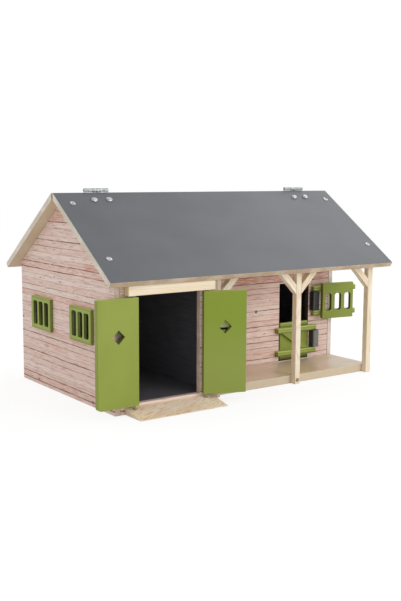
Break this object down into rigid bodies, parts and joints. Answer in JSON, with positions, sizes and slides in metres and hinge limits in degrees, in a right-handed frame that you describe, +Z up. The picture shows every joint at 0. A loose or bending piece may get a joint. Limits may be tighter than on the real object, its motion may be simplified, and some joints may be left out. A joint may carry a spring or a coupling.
{
  "type": "toy stable with garage",
  "caption": "Wooden toy stable with a garage, a porch on posts, double garage doors, a split stall door and a gable roof whose back half lifts on ridge hinges.",
  "frame": {"origin": "middle of the bounding box at its foot, on the ground, with the doors as pictured", "axes": "+X along the front from the garage to the stall, +Y from the front to the back, +Z up; the doors and porch face -Y"},
  "size_m": [0.3992, 0.248, 0.2141],
  "materials": {
    "plank_print": "6 mm board printed with pale pinkish horizontal planks, dark joint lines and grain",
    "board_edge": "bare light brown board",
    "roof_grey": "board painted smooth mid grey, bare light brown edges",
    "green_paint": "board painted olive to light green, semi-matt",
    "pine": "planed pale pine, bare",
    "ramp_wood": "bare wood with straight grain",
    "dark_grey": "dark grey, satin",
    "zinc_steel": "bright zinc-plated steel"
  },
  "bodies": {
    "stable": {"left_gable_wall": "plank_print", "right_gable_wall": "plank_print", "back_wall": "plank_print", "garage_front_wall": "plank_print", "garage_side_wall": "plank_print", "stall_front_wall": "plank_print", "inner_floor": "board_edge", "porch_floor": "board_edge", "stall_divider": "board_edge", "front_roof_panel": "roof_grey", "front_window_frame": "green_paint", "rear_window_frame": "green_paint", "lintel_beam": "pine", "left_post": "pine", "middle_post": "pine", "right_post": "pine", "left_post_brace": "pine", "middle_post_brace_left": "pine", "middle_post_brace_right": "pine", "right_post_brace": "pine", "porch_beam": "pine", "garage_ramp": "ramp_wood", "lower_hinge_block": "dark_grey", "upper_hinge_block": "dark_grey", "lower_hinge_pin": "zinc_steel", "upper_hinge_pin": "zinc_steel", "left_roof_hinge_fixed_leaf": "zinc_steel", "left_roof_hinge_pin": "zinc_steel", "right_roof_hinge_fixed_leaf": "zinc_steel", "right_roof_hinge_pin": "zinc_steel", "left_hinge_front_bolt_1": "zinc_steel", "left_hinge_front_bolt_2": "zinc_steel", "right_hinge_front_bolt_1": "zinc_steel", "right_hinge_front_bolt_2": "zinc_steel", "roof_screw_left_high": "zinc_steel", "roof_screw_left_low": "zinc_steel", "roof_screw_right_high": "zinc_steel", "roof_screw_right_low": "zinc_steel", "middle_post_screw": "zinc_steel"},
    "back_roof": {"back_roof_panel": "roof_grey", "left_roof_hinge_moving_leaf": "zinc_steel", "right_roof_hinge_moving_leaf": "zinc_steel", "left_hinge_back_bolt_1": "zinc_steel", "left_hinge_back_bolt_2": "zinc_steel", "right_hinge_back_bolt_1": "zinc_steel", "right_hinge_back_bolt_2": "zinc_steel"},
    "garage_left_door": {"garage_door_left": "green_paint", "garage_door_left_bottom_pin": "zinc_steel", "garage_door_left_top_pin": "zinc_steel"},
    "garage_right_door": {"garage_door_right": "green_paint", "garage_door_right_bottom_pin": "zinc_steel", "garage_door_right_top_pin": "zinc_steel", "garage_door_crossbar": "green_paint"},
    "lower_stall_door": {"lower_door_panel": "green_paint", "lower_door_bottom_batten": "green_paint", "lower_door_top_batten": "green_paint", "lower_door_brace": "green_paint"},
    "upper_stall_door": {"upper_door_panel": "green_paint", "upper_door_bottom_batten": "green_paint", "upper_door_top_batten": "green_paint"}
  },
  "joints": [
    {"name": "back_roof_hinge", "type": "hinge", "parent": "stable", "child": "back_roof", "pos_m": [-0.00145, 0.0073, 0.2121], "axis": [1, 0, 0], "range_deg": [0, 235]},
    {"name": "garage_left_door_hinge", "type": "hinge", "parent": "stable", "child": "garage_left_door", "pos_m": [-0.15815, -0.1009, 0.06], "axis": [0, 0, 1], "range_deg": [-5, 179]},
    {"name": "garage_right_door_hinge", "type": "hinge", "parent": "stable", "child": "garage_right_door", "pos_m": [-0.07425, -0.1009, 0.06], "axis": [0, 0, 1], "range_deg": [-160, 12]},
    {"name": "lower_stall_door_hinge", "type": "hinge", "parent": "stable", "child": "lower_stall_door", "pos_m": [0.14155, -0.0241, 0.035], "axis": [0, 0, 1], "range_deg": [0, 175]},
    {"name": "upper_stall_door_hinge", "type": "hinge", "parent": "stable", "child": "upper_stall_door", "pos_m": [0.14155, -0.0241, 0.0787], "axis": [0, 0, 1], "range_deg": [-171.5, 7.5]}
  ]
}
